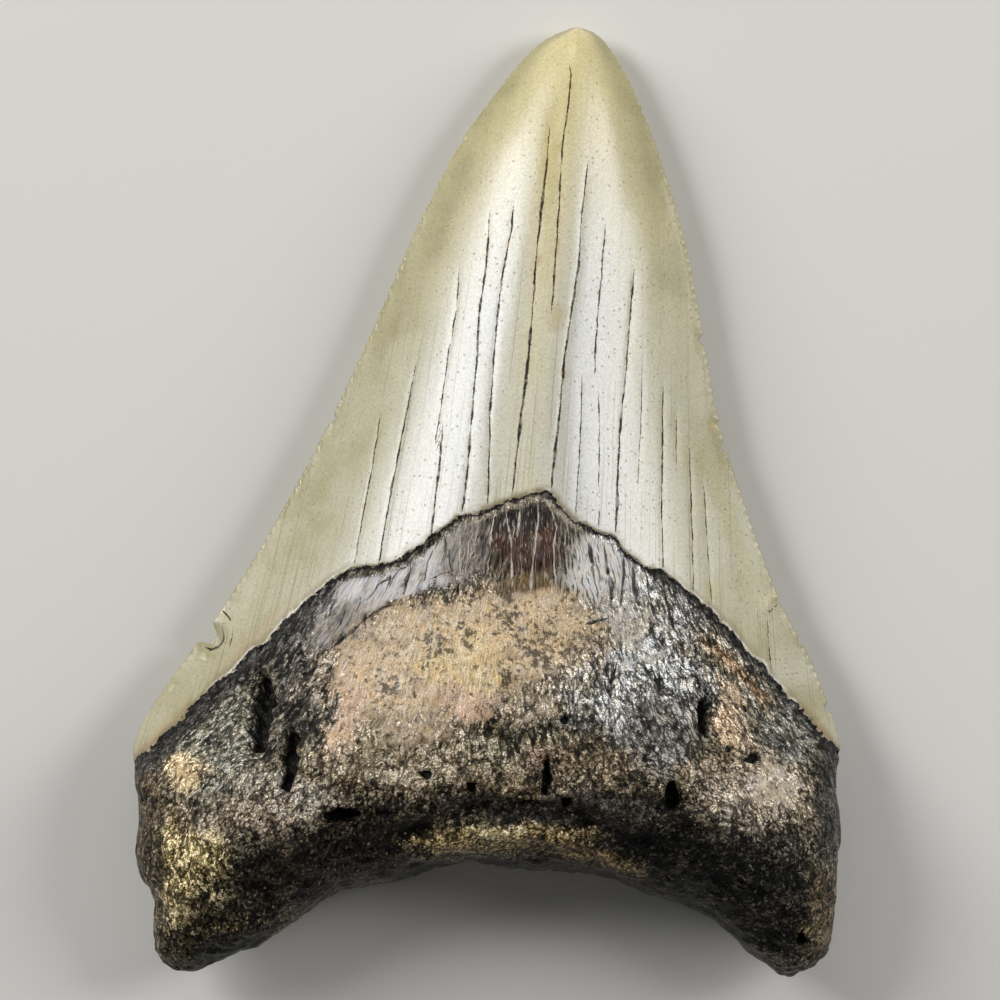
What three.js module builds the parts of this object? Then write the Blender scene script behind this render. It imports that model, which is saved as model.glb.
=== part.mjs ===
// A fossil megalodon tooth, grown as one piece: an enamel crown on a root with two lobes.
// It lies on its flatter outer (labial) face, with the domed inner (lingual) face up.
// Units are millimetres. +Y runs towards the tip, +X to the right seen from above, +Z up.

import * as THREE from "three";
import { ParametricGeometry } from "three/addons/geometries/ParametricGeometry.js";
import { mergeVertices } from "three/addons/utils/BufferGeometryUtils.js";

// Outline seen from above. Each side runs from the tip to the outer corner of its root lobe.
const LEFT_SIDE = [
  [8.1, 42.8], [5.7, 41.9], [3.5, 40.1], [1.0, 37.0], [-2.8, 31.6], [-6.8, 23.5], [-10.3, 15.4],
  [-14.1, 7.3], [-18.4, -0.8], [-23.3, -8.9], [-27.2, -14.3], [-30.9, -19.7], [-32.0, -22.6],
  [-32.1, -24.8], [-31.5, -27.6], [-31.8, -31.0], [-31.4, -33.4], [-30.1, -35.3], [-30.3, -38.2],
  [-29.7, -40.7],
];
const RIGHT_SIDE = [
  [8.1, 42.8], [9.9, 42.2], [11.6, 40.1], [13.3, 37.0], [15.4, 31.6], [17.9, 23.5], [19.4, 15.4],
  [20.9, 7.3], [23.4, -0.8], [26.4, -8.9], [29.2, -14.3], [31.0, -19.0], [31.9, -22.4],
  [31.7, -25.8], [32.2, -28.3], [31.8, -32.3], [31.5, -36.4], [31.1, -38.8], [30.4, -40.6],
];
// The base runs from the left lobe's corner, round the lobe and under the arch to the right lobe.
const BASE = [
  [-29.7, -40.7], [-28.7, -41.9], [-26.7, -42.4], [-23.6, -41.3], [-20.6, -40.3], [-18.2, -38.6],
  [-15.9, -37.4], [-14.6, -36.0], [-12.8, -34.9], [-9.2, -34.7], [-6.5, -33.7], [-3.8, -33.0],
  [-1.1, -32.4], [1.6, -33.2], [5.2, -33.5], [10.2, -33.8], [12.2, -34.3], [14.2, -35.5],
  [18.7, -36.8], [21.4, -38.8], [23.8, -41.2], [25.9, -42.5], [27.9, -42.8], [29.5, -41.9],
  [30.4, -40.6],
];

// Heights along the tooth: [fraction of the way from tip to base, height above the surface].
const RIDGE_HEIGHT = [
  [0.0, 3.9], [0.05, 5.6], [0.12, 7.3], [0.22, 9.2], [0.33, 11.0], [0.45, 12.9], [0.55, 14.4],
  [0.65, 16.2], [0.74, 17.9], [0.83, 18.7], [0.9, 18.4], [1.0, 17.0],
];
const EDGE_HEIGHT = [
  [0.0, 2.6], [0.1, 2.9], [0.3, 3.2], [0.6, 3.8], [0.74, 4.6], [0.84, 6.4], [0.92, 7.0], [1.0, 6.6],
];
const OUTER_FACE_HEIGHT = [
  [0.0, 1.3], [0.1, 0.7], [0.22, 0.1], [0.34, -0.25], [0.46, -0.05], [0.58, 0.35], [0.68, 0.25],
  [0.78, -0.3], [0.86, -0.6], [0.93, -0.4], [1.0, 0.2],
];

// The tip and the base round off over these fractions of the length.
const TIP_ROUNDING = 0.05;
const BASE_ROUNDING = 0.12;
// The sharp section of the crown turns into the full section of the root between these fractions.
const ROOT_START = 0.72;
const ROOT_FULL = 0.86;
// Power that keeps the rows straight in the crown and bends them to the arch in the root.
const ARCH_POWER = 4;
// Share of the crown's inner section that is bell-shaped, which hollows it towards the edges.
const CROWN_HOLLOW = 0.3;
// Powers of the sections: higher is squarer.
const OUTER_CROWN_POWER = 2.6;
const ROOT_POWER = 2.3;
const OUTER_ROOT_POWER = 4;
// Facets across one face and along the tooth, and how far they crowd at the edges and ends.
const COLUMNS = 38;
const ROWS = 60;
const EDGE_CROWDING = 0.25;
const END_CROWDING = 0.06;
const MERGE_DISTANCE = 0.002;

const TOOTH_COLOUR = 0xb3a98c;

const leftSide = new THREE.SplineCurve(LEFT_SIDE.map(([x, y]) => new THREE.Vector2(x, y)));
const rightSide = new THREE.SplineCurve(RIGHT_SIDE.map(([x, y]) => new THREE.Vector2(x, y)));
const base = new THREE.SplineCurve(BASE.map(([x, y]) => new THREE.Vector2(x, y)));

// Height at a fraction of the way along, on a smooth curve through the stations.
function heightAt(stations, fraction) {
  const last = stations.length - 2;
  const found = stations.findIndex(([at]) => at >= fraction) - 1;
  const span = THREE.MathUtils.clamp(found, 0, last);
  const slopeAt = (index) => {
    const before = stations[Math.max(index - 1, 0)];
    const after = stations[Math.min(index + 1, last + 1)];
    return (after[1] - before[1]) / (after[0] - before[0]);
  };
  const [start, low] = stations[span];
  const [end, high] = stations[span + 1];
  const width = end - start;
  const s = (fraction - start) / width;
  const rise = (high - low) * s * s * (3 - 2 * s);
  const leave = slopeAt(span) * width * s * (1 - s) * (1 - s);
  const arrive = slopeAt(span + 1) * width * s * s * (1 - s);
  return low + rise + leave - arrive;
}

// Quarter ellipse from 0 at the end of the tooth to 1 where its rounding is over.
function roundEnd(distance, length) {
  const left = 1 - Math.min(distance / length, 1);
  return Math.sqrt(1 - left * left);
}

// Place in plan: the two sides and the base carry a sheet between them.
function planPoint(across, down) {
  const share = (across + 1) / 2;
  const row = leftSide.getPointAt(down).lerp(rightSide.getPointAt(down), share);
  const chord = leftSide.getPointAt(1).lerp(rightSide.getPointAt(1), share);
  const bend = base.getPointAt(share).sub(chord);
  return row.addScaledVector(bend, down ** ARCH_POWER);
}

// Rise of the inner face from the edge, from 0 at the edge to 1 on the ridge.
function innerSection(across, root) {
  const dome = 1 - across * across;
  const crown = THREE.MathUtils.lerp(dome, dome * dome, CROWN_HOLLOW);
  const full = Math.sqrt(1 - Math.abs(across) ** ROOT_POWER);
  return THREE.MathUtils.lerp(crown, full, root);
}

// Fall of the outer face from the edge, from 0 at the edge to 1 along the middle.
function outerSection(across, root) {
  const crown = 1 - Math.abs(across) ** OUTER_CROWN_POWER;
  const full = Math.sqrt(1 - Math.abs(across) ** OUTER_ROOT_POWER);
  return THREE.MathUtils.lerp(crown, full, root);
}

// A point of the tooth: around runs over the inner face right to left and back under it.
function toothPoint(around, along, target) {
  const inner = around < 0.5;
  const turn = inner ? 1 - 4 * around : 4 * around - 3;
  const across = turn * (1 + EDGE_CROWDING * (1 - turn * turn));
  const down = along - END_CROWDING * Math.sin(2 * Math.PI * along);
  const root = THREE.MathUtils.smoothstep(down, ROOT_START, ROOT_FULL);
  const ends = roundEnd(down, TIP_ROUNDING) * roundEnd(1 - down, BASE_ROUNDING);
  const edge = heightAt(EDGE_HEIGHT, down);
  const plan = planPoint(across, down);
  const rise = (heightAt(RIDGE_HEIGHT, down) - edge) * innerSection(across, root) * ends;
  const fall = (edge - heightAt(OUTER_FACE_HEIGHT, down)) * outerSection(across, root) * ends;
  target.set(plan.x, plan.y, inner ? edge + rise : Math.max(edge - fall, 0));
}

// The closed skin of the tooth, its seams merged and the slivers at its tip dropped.
function closedSkin() {
  const sheet = new ParametricGeometry(toothPoint, 2 * COLUMNS, ROWS);
  sheet.deleteAttribute("normal");
  sheet.deleteAttribute("uv");
  const skin = mergeVertices(sheet, MERGE_DISTANCE);
  const corners = Array.from(skin.index.array);
  const kept = [];
  for (let at = 0; at < corners.length; at += 3) {
    const triangle = corners.slice(at, at + 3);
    if (new Set(triangle).size === 3) kept.push(...triangle);
  }
  skin.setIndex(kept);
  skin.computeBoundingBox();
  const middle = skin.boundingBox.getCenter(new THREE.Vector3());
  skin.translate(-middle.x, -middle.y, -skin.boundingBox.min.z);
  skin.computeVertexNormals();
  return skin;
}

const enamelAndRoot = new THREE.MeshStandardMaterial({
  color: TOOTH_COLOUR,
  roughness: 0.4,
  metalness: 0,
});
const tooth = new THREE.Mesh(closedSkin(), enamelAndRoot);
tooth.name = "tooth";

const group = new THREE.Group();
group.add(tooth);

export default group;
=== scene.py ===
"""A fossil megalodon tooth lying on a pale floor, seen from straight above."""

import logging
import math
from dataclasses import dataclass, field
from enum import Enum
from functools import partial

import bpy
import numpy as np
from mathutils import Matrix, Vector, noise


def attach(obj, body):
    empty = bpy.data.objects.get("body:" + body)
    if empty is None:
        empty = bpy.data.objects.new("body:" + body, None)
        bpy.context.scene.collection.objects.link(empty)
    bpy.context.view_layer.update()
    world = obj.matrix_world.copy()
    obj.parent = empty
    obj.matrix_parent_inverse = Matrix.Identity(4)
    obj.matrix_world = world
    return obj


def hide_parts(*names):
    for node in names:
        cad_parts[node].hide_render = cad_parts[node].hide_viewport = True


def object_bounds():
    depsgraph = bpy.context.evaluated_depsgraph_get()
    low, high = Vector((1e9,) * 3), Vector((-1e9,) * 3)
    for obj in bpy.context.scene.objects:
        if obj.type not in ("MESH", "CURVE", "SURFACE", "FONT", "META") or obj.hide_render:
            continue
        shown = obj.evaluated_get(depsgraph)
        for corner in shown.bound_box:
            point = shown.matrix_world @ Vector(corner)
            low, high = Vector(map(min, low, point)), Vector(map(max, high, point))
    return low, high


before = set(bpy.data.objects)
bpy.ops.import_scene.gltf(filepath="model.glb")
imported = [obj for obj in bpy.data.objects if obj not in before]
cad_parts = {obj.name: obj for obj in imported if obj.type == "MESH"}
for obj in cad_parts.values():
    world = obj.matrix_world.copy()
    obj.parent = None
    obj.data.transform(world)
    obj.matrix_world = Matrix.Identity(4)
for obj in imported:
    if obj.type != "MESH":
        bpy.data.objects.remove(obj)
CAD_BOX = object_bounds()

LOG = logging.getLogger("tooth")
MM = 0.001

# The photograph's scale: millimetres to a pixel, and the pixel over the tooth's origin.
PHOTO_MM = 0.09
PHOTO_MIDDLE_PX = (487.0, 501.0)

# Half the width over which enamel turns into root, and a width that keeps a division from failing,
# in millimetres.
BORDER = 0.04
HAIRBREADTH = 0.001

PathPx = tuple[tuple[float, float], ...]
Socket = bpy.types.NodeSocket


class Face(Enum):
    """The two faces of the tooth: the domed one that looks up, and the flatter one that it lies on."""

    INNER = 1.0
    OUTER = -1.0


@dataclass(frozen=True)
class Crack:
    """A drying crack in the enamel, or a seam in the neck band.

    Attributes:
        path_px: Its course, from the tip's end, in the photograph's pixels.
        width: Half its width in millimetres.
        depth: Its depth in millimetres.
    """

    path_px: PathPx
    width: float
    depth: float


@dataclass(frozen=True)
class Pit:
    """A nutrient hole or slot in the root, from one end of its middle line to the other.

    Attributes:
        start_px: One end of its middle line, in the photograph's pixels.
        end_px: The other end.
        radius: Half its width in millimetres.
        depth: Its depth in millimetres.
    """

    start_px: tuple[float, float]
    end_px: tuple[float, float]
    radius: float
    depth: float


@dataclass(frozen=True)
class Chip:
    """A bite out of the cutting edge.

    Attributes:
        at_px: Its middle on the edge, in the photograph's pixels.
        radius: Half its length along the edge in millimetres.
        depth: How far it reaches in from the edge in millimetres.
    """

    at_px: tuple[float, float]
    radius: float
    depth: float


@dataclass(frozen=True)
class Patch:
    """An oval place on the tooth.

    Attributes:
        at_px: Its middle, in the photograph's pixels.
        radii_px: Half its length and half its breadth in pixels.
        turn: Degrees that its length is turned from level, clockwise in the picture.
    """

    at_px: tuple[float, float]
    radii_px: tuple[float, float]
    turn: float = field(default=0.0, kw_only=True)


@dataclass(frozen=True)
class ColourPatch(Patch):
    """A patch of colour: mostly mineral staining, and a few of painted shade, shadow, highlights and sheen.

    Attributes:
        colour: Its mean colour as sRGB hex.
        grime: Share of its grains that are dark.
    """

    colour: str
    grime: float = 0.0


@dataclass(frozen=True)
class Layer:
    """A layer of smooth noise.

    Attributes:
        height: How far it reaches either way, in millimetres or as a share.
        size: Width of a lump in millimetres, or its width along each axis.
        seed: Shift that tells one layer from another.
    """

    height: float
    size: float | tuple[float, float, float]
    seed: float


# Lower border of the enamel, left to right: a chevron on the inner face, a shallow arch on the outer.
GUM_PX: dict[Face, PathPx] = {
    Face.INNER: (
        (118, 775), (145, 752), (180, 719), (215, 684), (247, 654), (266, 640), (279, 627), (298, 608),
        (317, 592), (336, 576), (349, 569), (378, 566), (403, 558), (419, 544), (438, 533), (457, 518),
        (483, 510), (500, 503), (522, 496), (548, 491), (560, 505), (576, 520), (595, 531), (614, 536),
        (627, 552), (643, 565), (662, 571), (678, 582), (697, 598), (716, 614), (735, 636), (757, 662),
        (773, 678), (799, 706), (826, 737), (850, 760),
    ),
    Face.OUTER: (
        (118, 768), (160, 735), (230, 702), (330, 672), (440, 655), (540, 650), (640, 658), (730, 684),
        (800, 722), (850, 760),
    ),
}

# Lower side of the neck band's left half, and the foot of the cutting edges.
NECK_FOOT_PX: PathPx = ((300, 662), (328, 640), (352, 622), (385, 604), (420, 590), (455, 582), (500, 580))
RIM_FOOT_PX = (487.0, 765.0)

# Points from which the fibres of the upper root and the grain of the enamel fan out, and the one
# round which the grains of the lower root bend.
FAN_PX = (540.0, 250.0)
GRAIN_PX = (665.0, -1070.0)
ARCH_PX = (490.0, 1100.0)

# Long drying cracks of the crown.
CRACKS: tuple[Crack, ...] = (
    Crack(((568, 55), (571, 75), (568, 107), (562, 149), (559, 204), (555, 262), (551, 318)), 0.12, 0.028),
    Crack(((550, 122), (548, 153), (541, 213), (536, 259), (532, 314), (527, 369), (520, 424),
           (512, 494)), 0.16, 0.044),
    Crack(((588, 160), (582, 213), (578, 268), (571, 314), (564, 360), (559, 415), (551, 490)), 0.16, 0.044),
    Crack(((606, 215), (601, 277), (596, 332), (594, 378)), 0.11, 0.028),
    Crack(((635, 262), (630, 314), (626, 369), (619, 433), (615, 534)), 0.15, 0.04),
    Crack(((516, 185), (511, 231), (502, 277), (497, 323), (493, 369), (490, 410), (488, 506)), 0.12, 0.032),
    Crack(((490, 208), (486, 268), (479, 314), (477, 360), (472, 415), (467, 479), (462, 514)), 0.14, 0.032),
    Crack(((460, 262), (456, 314), (449, 351), (442, 401), (435, 447)), 0.09, 0.024),
    Crack(((444, 415), (440, 461), (435, 507), (432, 537)), 0.12, 0.032),
    Crack(((418, 355), (410, 397), (401, 442), (392, 488), (387, 516), (379, 565)), 0.11, 0.024),
    Crack(((382, 405), (376, 447), (366, 502), (354, 567)), 0.08, 0.02),
    Crack(((663, 378), (662, 442), (661, 511), (662, 570)), 0.09, 0.024),
    Crack(((642, 360), (640, 433), (637, 485)), 0.07, 0.016),
    Crack(((689, 437), (691, 516), (693, 594)), 0.08, 0.02),
    Crack(((702, 470), (707, 540), (711, 608)), 0.07, 0.016),
    Crack(((676, 400), (676, 465)), 0.07, 0.016),
    Crack(((582, 365), (580, 433), (575, 517)), 0.08, 0.02),
    Crack(((598, 383), (599, 440), (598, 529)), 0.08, 0.02),
    Crack(((767, 612), (768, 640), (771, 675)), 0.07, 0.02),
    Crack(((782, 603), (775, 607), (768, 613)), 0.11, 0.04),
    Crack(((221, 609), (227, 616), (231, 621)), 0.12, 0.04),
    Crack(((220, 628), (222, 637), (217, 645), (208, 650), (204, 643)), 0.11, 0.04),
    Crack(((221, 626), (218, 637), (211, 643), (203, 646)), 0.42, 0.25),
    Crack(((232, 622), (233, 634), (229, 648)), 0.07, 0.016),
)

# Tongues and gaps in the neck band, and the break along its lower side.
NECK_CRACKS: tuple[Crack, ...] = (
    Crack(((328, 650), (340, 637), (356, 625), (372, 612), (385, 606), (396, 604)), 0.22, 0.2),
    Crack(((411, 556), (410, 570), (407, 582), (404, 595)), 0.15, 0.1),
    Crack(((434, 546), (428, 560), (426, 572), (424, 581)), 0.15, 0.1),
    Crack(((391, 573), (389, 583), (385, 592)), 0.15, 0.1),
    Crack(((366, 602), (373, 592), (378, 584), (384, 579), (389, 578)), 0.14, 0.1),
    Crack(((389, 590), (393, 577), (399, 568), (408, 565)), 0.14, 0.1),
    Crack(((430, 578), (441, 572), (450, 571)), 0.14, 0.1),
    Crack(((361, 594), (360, 602), (357, 612)), 0.14, 0.1),
    Crack(((346, 606), (343, 614), (339, 624)), 0.13, 0.1),
    Crack(((450, 548), (449, 560), (452, 574)), 0.22, 0.12),
    Crack(((444, 534), (446, 543), (445, 552)), 0.2, 0.12),
    Crack(((589, 541), (591, 553), (593, 565)), 0.3, 0.2),
    Crack(((604, 542), (606, 559), (608, 576)), 0.18, 0.2),
    Crack(((609, 574), (610, 585), (611, 600)), 0.32, 0.2),
    Crack(((624, 552), (624, 575), (620, 604)), 0.2, 0.2),
    Crack(((632, 564), (634, 584), (639, 606)), 0.3, 0.2),
    Crack(((646, 574), (649, 592), (656, 618)), 0.22, 0.2),
    Crack(((664, 588), (668, 606), (674, 626)), 0.2, 0.2),
    Crack(((584, 624), (595, 620), (608, 617)), 0.22, 0.2),
    Crack(((616, 658), (614, 670), (610, 680), (609, 696)), 0.36, 0.35),
    Crack(((603, 676), (606, 686), (612, 692)), 0.24, 0.2),
)

# Folds of the root: the groove over the ledge of the arch, and troughs beside the big slots.
FOLDS: tuple[Crack, ...] = (
    Crack(((380, 848), (430, 822), (480, 806), (530, 803), (570, 811), (610, 826), (665, 852)), 0.8, 0.55),
    Crack(((400, 858), (450, 838), (500, 829), (550, 833), (600, 848), (645, 870)), 0.9, -0.5),
    Crack(((250, 655), (262, 690), (262, 760)), 1.4, 0.5),
    Crack(((296, 700), (290, 760), (284, 800)), 1.2, 0.4),
    Crack(((700, 680), (705, 715), (702, 740)), 1.2, 0.35),
)

# Pale mineral seams that run down the dark middle of the neck band, and the tongues' pale rims.
SEAMS: tuple[Crack, ...] = (
    Crack(((461, 528), (460, 555), (460, 590)), 0.08, -0.05),
    Crack(((470, 528), (468, 555), (466, 578)), 0.07, -0.05),
    Crack(((477, 524), (475, 545), (469, 562)), 0.09, -0.05),
    Crack(((494, 512), (492, 528), (490, 545)), 0.12, -0.08),
    Crack(((506, 506), (508, 525), (511, 541), (512, 588)), 0.11, -0.06),
    Crack(((520, 503), (519, 520), (517, 537)), 0.13, -0.06),
    Crack(((538, 500), (538, 520), (534, 545), (530, 592)), 0.15, -0.1),
    Crack(((546, 505), (551, 510), (556, 526), (553, 548), (555, 586)), 0.11, -0.07),
    Crack(((566, 520), (565, 545), (568, 588)), 0.08, -0.05),
    Crack(((574, 524), (577, 550), (577, 590)), 0.08, -0.05),
    Crack(((377, 590), (380, 584), (385, 581), (388, 583)), 0.07, -0.04),
    Crack(((394, 578), (401, 570), (408, 568)), 0.07, -0.04),
)

# Nutrient holes and slots of the root.
PITS: tuple[Pit, ...] = (
    Pit((262, 676), (258, 740), 0.85, 1.5),
    Pit((291, 728), (288, 784), 0.65, 1.3),
    Pit((330, 815), (350, 814), 0.75, 1.5),
    Pit((471, 783), (472, 784), 0.6, 1.4),
    Pit((546, 762), (544, 789), 0.42, 1.2),
    Pit((564, 799), (565, 800), 0.5, 1.0),
    Pit((564, 714), (564, 718), 0.42, 0.7),
    Pit((670, 782), (673, 802), 0.65, 1.5),
    Pit((706, 696), (704, 722), 0.65, 1.5),
    Pit((728, 744), (728, 745), 0.45, 0.6),
    Pit((752, 752), (752, 756), 0.5, 0.8),
    Pit((799, 934), (800, 940), 0.55, 0.9),
    Pit((425, 770), (428, 772), 0.5, 0.6),
)

# Chips in the cutting edges.
CHIPS: tuple[Chip, ...] = (
    Chip((206, 633), 1.2, 1.0),
    Chip((333, 418), 0.5, 0.35),
    Chip((463, 142), 0.45, 0.2),
    Chip((705, 340), 0.6, 0.35),
    Chip((718, 426), 0.5, 0.25),
    Chip((727, 447), 0.6, 0.4),
    Chip((782, 602), 0.6, 0.3),
    Chip((803, 640), 0.5, 0.3),
    Chip((829, 708), 0.5, 0.35),
)

# Mineral colours of the neck band, the strip under the border's peak, the dark band along the border
# and the rest of the root, each with the share of its grains that are dark.
NECK_TINT = "c9c5c7"
NECK_GRIME = 0.1
NECK_OVAL = Patch((552, 556), (100, 42), turn=12)
STRIP_PX = (523.0, 500.0)
STRIP_TINT = "958a78"
STRIP_GRIME = 0.25
BAND_TINT = "35332e"
BAND_GRIME = 0.6
ROOT_TINT = "625945"
ROOT_GRIME = 0.5

# Patches of other colours on the root, laid one over the other; a few, marked below, are painted shade,
# painted shadow and a painted sheen.
ROOT_STAINS_AND_PAINTED_LIGHT: tuple[ColourPatch, ...] = (
    ColourPatch((500, 785), (350, 55), "736347", 0.55),
    # Dark mineral low on the root, deepened with painted shade where it faces away from the lights.
    ColourPatch((700, 880), (170, 70), "1e1a10", 0.8, turn=22),
    ColourPatch((330, 850), (130, 45), "281f10", 0.78, turn=-18),
    ColourPatch((190, 872), (38, 66), "beaa70", 0.5, turn=5),
    ColourPatch((215, 930), (75, 32), "4c4026", 0.66, turn=-25),
    # Painted shadow along the lower edge of the left lobe.
    ColourPatch((236, 946), (50, 15), "1c180e", 0.75, turn=-25),
    ColourPatch((235, 812), (60, 20), "8c7b66", 0.38),
    ColourPatch((225, 742), (50, 66), "837f6f", 0.46, turn=15),
    ColourPatch((288, 786), (52, 20), "978c7b", 0.33, turn=10),
    ColourPatch((308, 655), (28, 85), "544f47", 0.62, turn=12),
    ColourPatch((274, 712), (12, 32), "6c5f50", 0.5, turn=5),
    ColourPatch((190, 772), (22, 15), "d8bf90", 0.28),
    ColourPatch((144, 805), (11, 70), "5c4c32", 0.52),
    ColourPatch((155, 864), (11, 46), "5e5138", 0.56),
    ColourPatch((400, 754), (95, 24), "95876d", 0.32),
    ColourPatch((515, 735), (62, 26), "82775f", 0.5),
    ColourPatch((640, 660), (76, 68), "adacaa", 0.43),
    # The paler grey middle of the grey patch: grey mineral with its wet sheen painted in.
    ColourPatch((640, 648), (32, 24), "c4c3c0", 0.25),
    ColourPatch((590, 622), (44, 34), "ab9d8a", 0.37),
    ColourPatch((405, 668), (84, 62), "c8b194", 0.1),
    ColourPatch((515, 636), (76, 56), "c8b192", 0.15),
    ColourPatch((462, 662), (44, 30), "d4bd93", 0.08),
    ColourPatch((474, 706), (30, 17), "cbae94", 0.16),
    ColourPatch((346, 706), (22, 34), "c7ac94", 0.18),
    ColourPatch((656, 735), (40, 44), "6f6b65", 0.48),
    ColourPatch((545, 752), (24, 14), "6e5945", 0.48),
    ColourPatch((540, 802), (108, 13), "332d23", 0.58),
    ColourPatch((500, 833), (88, 12), "a68c52", 0.48, turn=-2),
    ColourPatch((492, 827), (28, 7), "c9b682", 0.28),
    ColourPatch((588, 853), (52, 11), "7c6230", 0.52, turn=14),
    # Painted shadow under the ledge of the arch.
    ColourPatch((460, 868), (120, 9), "241f16", 0.6, turn=-4),
    ColourPatch((620, 884), (70, 9), "241f16", 0.6, turn=20),
    ColourPatch((732, 660), (82, 30), "968c78", 0.52, turn=45),
    ColourPatch((670, 612), (30, 28), "a5a29e", 0.38),
    ColourPatch((624, 620), (28, 24), "c0b8ad", 0.22),
    ColourPatch((530, 704), (34, 17), "a99b85", 0.26),
    ColourPatch((420, 727), (44, 14), "b29f86", 0.22),
    ColourPatch((738, 672), (56, 6), "92744e", 0.5, turn=44),
    ColourPatch((774, 716), (24, 6), "8a6c42", 0.5, turn=50),
    ColourPatch((792, 724), (32, 30), "77746a", 0.5, turn=30),
    ColourPatch((756, 788), (52, 38), "b0a18d", 0.28, turn=10),
    ColourPatch((768, 785), (26, 20), "bfb2a0", 0.22),
    ColourPatch((730, 715), (15, 36), "b9a286", 0.3, turn=-10),
    ColourPatch((727, 728), (9, 16), "bc9f7c", 0.3),
    ColourPatch((829, 800), (15, 70), "3f3d35", 0.58),
    ColourPatch((822, 912), (18, 52), "5c4d2f", 0.52),
    ColourPatch((612, 568), (46, 34), "d2cfce", 0.3, turn=30),
    ColourPatch((524, 545), (38, 42), "4a3220", 0.33),
    ColourPatch((523, 519), (34, 15), "21140d", 0.33),
    ColourPatch((528, 580), (30, 10), "6e5830", 0.3),
    ColourPatch((495, 541), (4, 9), "4c2e20", 0.25),
    ColourPatch((545, 541), (5, 9), "523224", 0.25),
)

# Darker parts of the neck band: its left end, and its way into the dark middle.
NECK_STAINS: tuple[ColourPatch, ...] = (
    ColourPatch((340, 624), (34, 14), "8c847c", 0.26, turn=-36),
    ColourPatch((470, 552), (14, 34), "746b66", 0.3, turn=8),
    ColourPatch((452, 556), (10, 26), "928a84", 0.26, turn=8),
)

# Where dark specks gather on the tan patch of the root.
SPECKLES: tuple[Patch, ...] = (
    Patch((391, 690), (12, 20)),
    Patch((428, 664), (9, 9)),
    Patch((440, 641), (16, 14)),
    Patch((466, 633), (9, 22)),
    Patch((470, 600), (14, 14)),
    Patch((508, 667), (18, 18)),
    Patch((512, 616), (20, 22)),
    Patch((545, 640), (22, 26)),
    Patch((580, 650), (20, 30)),
)

# Rust and lemon staining on the enamel, with a painted shade band and painted highlights, as marked.
ENAMEL_STAINS_AND_PAINTED_LIGHT: tuple[ColourPatch, ...] = (
    # Painted shade: an olive band where the right flank turns down to the edge.
    ColourPatch((735, 540), (150, 13), "a49d62", turn=71),
    ColourPatch((796, 680), (60, 26), "a39b7c", turn=62),
    ColourPatch((716, 470), (10, 16), "a5a05a", turn=70),
    ColourPatch((728, 526), (9, 17), "a39b50", turn=20),
    ColourPatch((716, 588), (12, 16), "b5aa66", turn=30),
    ColourPatch((650, 210), (90, 16), "b6ad79", turn=72),
    ColourPatch((400, 290), (130, 18), "b0a87b", turn=-62),
    ColourPatch((548, 160), (60, 9), "c9b878", turn=95),
    ColourPatch((556, 320), (10, 14), "c2b184"),
    ColourPatch((459, 156), (5, 4), "c99a4c"),
    ColourPatch((538, 262), (3, 8), "b08a54"),
    ColourPatch((714, 424), (4, 7), "ddc677"),
    ColourPatch((740, 491), (3, 4), "e2b868"),
    ColourPatch((771, 598), (7, 10), "d6bd7e", turn=20),
    # Painted highlights on two broken facets by the chip.
    ColourPatch((205, 657), (4, 6), "e8e0b4", turn=-30),
    ColourPatch((170, 688), (5, 3), "e4dcb0", turn=-40),
    ColourPatch((152, 738), (34, 7), "bd9c70", turn=-44),
    ColourPatch((250, 640), (70, 7), "b9a27c", turn=-44),
    ColourPatch((822, 730), (16, 6), "b48c62", turn=45),
)


# Layers of noise that make the outlines ragged.
GUM_WOBBLE = (Layer(0.32, 1.7, 5.0), Layer(0.12, 0.7, 9.0))
NECK_WOBBLE = (Layer(0.35, 1.2, 91.0), Layer(0.25, 0.5, 93.0))
LINE_WOBBLE = (Layer(0.07, 1.6, 0.0), Layer(0.05, 0.45, 1.0))
LINE_SWELL = (Layer(0.9, 1.6, 2.0),)
LINE_ROW = 3.7
PIT_WOBBLE = (Layer(0.6, 1.3, 21.0), Layer(0.5, 0.6, 23.0))
PATCH_WOBBLE = (Layer(1.6, 4.0, 61.0), Layer(0.9, 1.3, 71.0), Layer(0.6, 0.5, 77.0))
GRAIN_WOBBLE = (Layer(3.6, 3.0, 107.0), Layer(1.4, 0.8, 109.0))
FIBRE_SWAY = (Layer(0.3, 1.25, 101.0),)
NECK_FLAKES = (Layer(1.0, (0.75, 2.6, 2.6), 95.0),)
EDGE_WEAR = (Layer(0.5, 3.0, 53.0),)

# Layers of noise that shape the surface: waves of the crown, then swellings, furrows, fibres and
# grains of the root.
CROWN_WAVES = (Layer(0.03, (2.4, 22, 20), 3.0),)
SWELLINGS = (Layer(0.5, 7.0, 31.0),)
FURROWS = Layer(0.28, 3.2, 37.0)
FIBRE_RIDGES = Layer(0.2, (1.2, 3.6, 1.2), 41.0)
GRAIN_RIDGES = Layer(0.26, (2.6, 1.3, 1.3), 43.0)
CRUMBS = (Layer(0.07, 0.8, 45.0),)

# Mark of a vertex that no crack or seam is near: a far offset, a far distance and no width.
NO_LINE = (9.0, 9.0, 0.0)


def photo_mm(points_px: PathPx | tuple[float, float]) -> np.ndarray:
    """Plan places of points that were read from the photograph.

    Args:
        points_px: One point or several, in the photograph's pixels.

    Returns:
        Their X and Y in millimetres.
    """
    return (np.asarray(points_px, float) - PHOTO_MIDDLE_PX) * (PHOTO_MM, -PHOTO_MM)


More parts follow.
